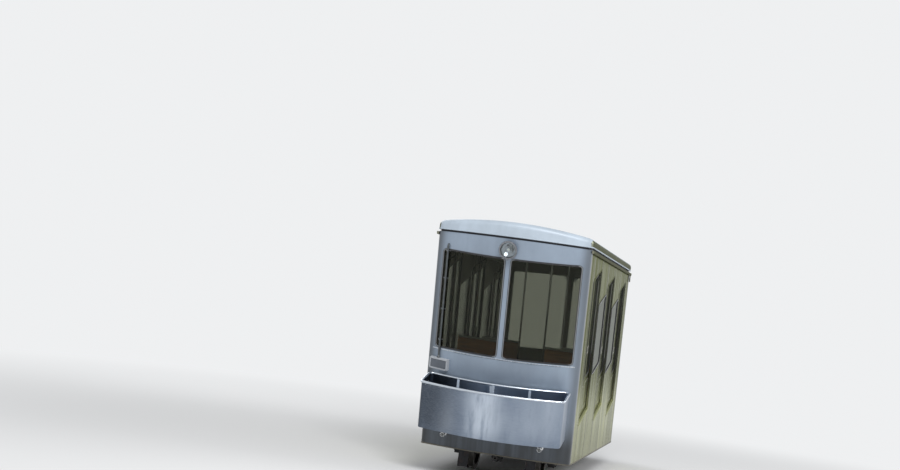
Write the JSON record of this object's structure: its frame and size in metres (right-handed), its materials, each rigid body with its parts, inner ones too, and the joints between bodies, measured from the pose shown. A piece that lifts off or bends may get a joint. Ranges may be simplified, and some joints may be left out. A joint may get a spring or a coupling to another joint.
{
  "type": "funicular car",
  "caption": "Stepped funicular car with a plumb glazed body, paired sliding doors, level landings, end ski baskets and grooved and plain wheels on one gauge.",
  "frame": {"origin": "middle of the car's outline, on the plane its wheels stand on", "axes": "+Z square to the rails, +Y down the line, +X to the right when looking down the line; true upright leans 13.3 degrees towards -Y"},
  "size_m": [2.264, 7.727, 3.6598],
  "materials": {
    "side_steel": "mirror-polished stainless skin with faint upright waves",
    "end_paint": "light blue-grey metallic paint, satin",
    "roof_paint": "light grey paint, weathered satin",
    "ceiling_paint": "off-white satin paint",
    "gutter_steel": "bright extruded trim",
    "screen_glass": "clear, slightly green",
    "gasket_rubber": "black rubber, matt",
    "window_glass": "clear, slightly grey",
    "window_gasket_rubber": "black rubber, matt",
    "rail_steel": "bare steel running rail",
    "lamp_chrome": "chrome bezel",
    "lamp_glass": "fluted clear lens",
    "marker_plastic": "pale lens in a small housing",
    "basket_steel": "brushed stainless sheet, dull",
    "seal_rubber": "dark recessed seal",
    "box_plastic": "white frame, weathered",
    "conduit_metal": "dull metal tube",
    "floor_metal": "dark ribbed floor sheet",
    "bench_wood": "varnished brown boards",
    "partition_wood": "varnished brown boards",
    "cap_metal": "light metal capping",
    "pole_steel": "polished tube",
    "frame_paint": "dark frame paint with brake dust",
    "wheel_iron": "dark wheels with bright treads",
    "box_iron": "dark castings",
    "spring_rubber": "black rubber pads",
    "brake_paint": "dark grey paint",
    "socket_iron": "forged dark steel",
    "guard_paint": "dark grey paint",
    "leaf_steel": "polished stainless door leaf",
    "leaf_glass": "clear, slightly grey"
  },
  "bodies": {
    "car": {"right_side_wall": "side_steel", "left_side_wall": "side_steel", "uphill_end_wall": "end_paint", "downhill_end_wall": "end_paint", "roof": "roof_paint", "ceiling": "ceiling_paint", "gutters": "gutter_steel", "windscreens": "screen_glass", "windscreen_gaskets": "gasket_rubber", "side_windows": "window_glass", "side_window_gaskets": "window_gasket_rubber", "door_rails": "rail_steel", "headlamps": "lamp_chrome", "headlamp_lenses": "lamp_glass", "marker_lamps": "marker_plastic", "uphill_ski_basket": "basket_steel", "downhill_ski_basket": "basket_steel", "junction_box": "box_plastic", "conduit": "conduit_metal", "floor": "floor_metal", "benches": "bench_wood", "partitions": "partition_wood", "partition_caps": "cap_metal", "grab_poles": "pole_steel", "frame_beams": "frame_paint", "cross_members": "frame_paint", "horn_plates": "frame_paint", "floor_bearers": "frame_paint", "roof_seal": "seal_rubber", "axle_boxes": "box_iron", "axle_springs": "spring_rubber", "rail_brake": "brake_paint", "rope_socket": "socket_iron", "rail_guards": "guard_paint"},
    "right_door_1_uphill": {"right_door_1_uphill_leaf": "leaf_steel", "right_door_1_uphill_glass": "leaf_glass"},
    "right_door_1_downhill": {"right_door_1_downhill_leaf": "leaf_steel", "right_door_1_downhill_glass": "leaf_glass"},
    "right_door_2_uphill": {"right_door_2_uphill_leaf": "leaf_steel", "right_door_2_uphill_glass": "leaf_glass"},
    "right_door_2_downhill": {"right_door_2_downhill_leaf": "leaf_steel", "right_door_2_downhill_glass": "leaf_glass"},
    "right_door_3_uphill": {"right_door_3_uphill_leaf": "leaf_steel", "right_door_3_uphill_glass": "leaf_glass"},
    "right_door_3_downhill": {"right_door_3_downhill_leaf": "leaf_steel", "right_door_3_downhill_glass": "leaf_glass"},
    "left_door_1_uphill": {"left_door_1_uphill_leaf": "leaf_steel", "left_door_1_uphill_glass": "leaf_glass"},
    "left_door_1_downhill": {"left_door_1_downhill_leaf": "leaf_steel", "left_door_1_downhill_glass": "leaf_glass"},
    "left_door_2_uphill": {"left_door_2_uphill_leaf": "leaf_steel", "left_door_2_uphill_glass": "leaf_glass"},
    "left_door_2_downhill": {"left_door_2_downhill_leaf": "leaf_steel", "left_door_2_downhill_glass": "leaf_glass"},
    "left_door_3_uphill": {"left_door_3_uphill_leaf": "leaf_steel", "left_door_3_uphill_glass": "leaf_glass"},
    "left_door_3_downhill": {"left_door_3_downhill_leaf": "leaf_steel", "left_door_3_downhill_glass": "leaf_glass"},
    "uphill_wheels": {"uphill_wheelset": "wheel_iron"},
    "downhill_wheels": {"downhill_wheelset": "wheel_iron"}
  },
  "joints": [
    {"name": "right_door_1_uphill_slide", "type": "slide", "parent": "car", "child": "right_door_1_uphill", "axis": [0, -1, 0], "range_m": [0, 0.42]},
    {"name": "right_door_1_downhill_slide", "type": "slide", "parent": "car", "child": "right_door_1_downhill", "axis": [0, 1, 0], "range_m": [0, 0.42]},
    {"name": "right_door_2_uphill_slide", "type": "slide", "parent": "car", "child": "right_door_2_uphill", "axis": [0, -1, 0], "range_m": [0, 0.42]},
    {"name": "right_door_2_downhill_slide", "type": "slide", "parent": "car", "child": "right_door_2_downhill", "axis": [0, 1, 0], "range_m": [0, 0.42]},
    {"name": "right_door_3_uphill_slide", "type": "slide", "parent": "car", "child": "right_door_3_uphill", "axis": [0, -1, 0], "range_m": [0, 0.42]},
    {"name": "right_door_3_downhill_slide", "type": "slide", "parent": "car", "child": "right_door_3_downhill", "axis": [0, 1, 0], "range_m": [0, 0.42]},
    {"name": "left_door_1_uphill_slide", "type": "slide", "parent": "car", "child": "left_door_1_uphill", "axis": [0, -1, 0], "range_m": [0, 0.42]},
    {"name": "left_door_1_downhill_slide", "type": "slide", "parent": "car", "child": "left_door_1_downhill", "axis": [0, 1, 0], "range_m": [0, 0.42]},
    {"name": "left_door_2_uphill_slide", "type": "slide", "parent": "car", "child": "left_door_2_uphill", "axis": [0, -1, 0], "range_m": [0, 0.42]},
    {"name": "left_door_2_downhill_slide", "type": "slide", "parent": "car", "child": "left_door_2_downhill", "axis": [0, 1, 0], "range_m": [0, 0.42]},
    {"name": "left_door_3_uphill_slide", "type": "slide", "parent": "car", "child": "left_door_3_uphill", "axis": [0, -1, 0], "range_m": [0, 0.42]},
    {"name": "left_door_3_downhill_slide", "type": "slide", "parent": "car", "child": "left_door_3_downhill", "axis": [0, 1, 0], "range_m": [0, 0.42]},
    {"name": "uphill_wheels_roll", "type": "hinge", "parent": "car", "child": "uphill_wheels", "pos_m": [0, -1.76264, 0.32], "axis": [1, 0, 0], "continuous": true},
    {"name": "downhill_wheels_roll", "type": "hinge", "parent": "car", "child": "downhill_wheels", "pos_m": [0, 1.83736, 0.32], "axis": [1, 0, 0], "continuous": true}
  ],
  "couplings": [
    {"joint": "right_door_1_downhill_slide", "follows": "right_door_1_uphill_slide", "ratio": 1},
    {"joint": "right_door_2_downhill_slide", "follows": "right_door_2_uphill_slide", "ratio": 1},
    {"joint": "right_door_3_downhill_slide", "follows": "right_door_3_uphill_slide", "ratio": 1},
    {"joint": "left_door_1_downhill_slide", "follows": "left_door_1_uphill_slide", "ratio": 1},
    {"joint": "left_door_2_downhill_slide", "follows": "left_door_2_uphill_slide", "ratio": 1},
    {"joint": "left_door_3_downhill_slide", "follows": "left_door_3_uphill_slide", "ratio": 1}
  ]
}
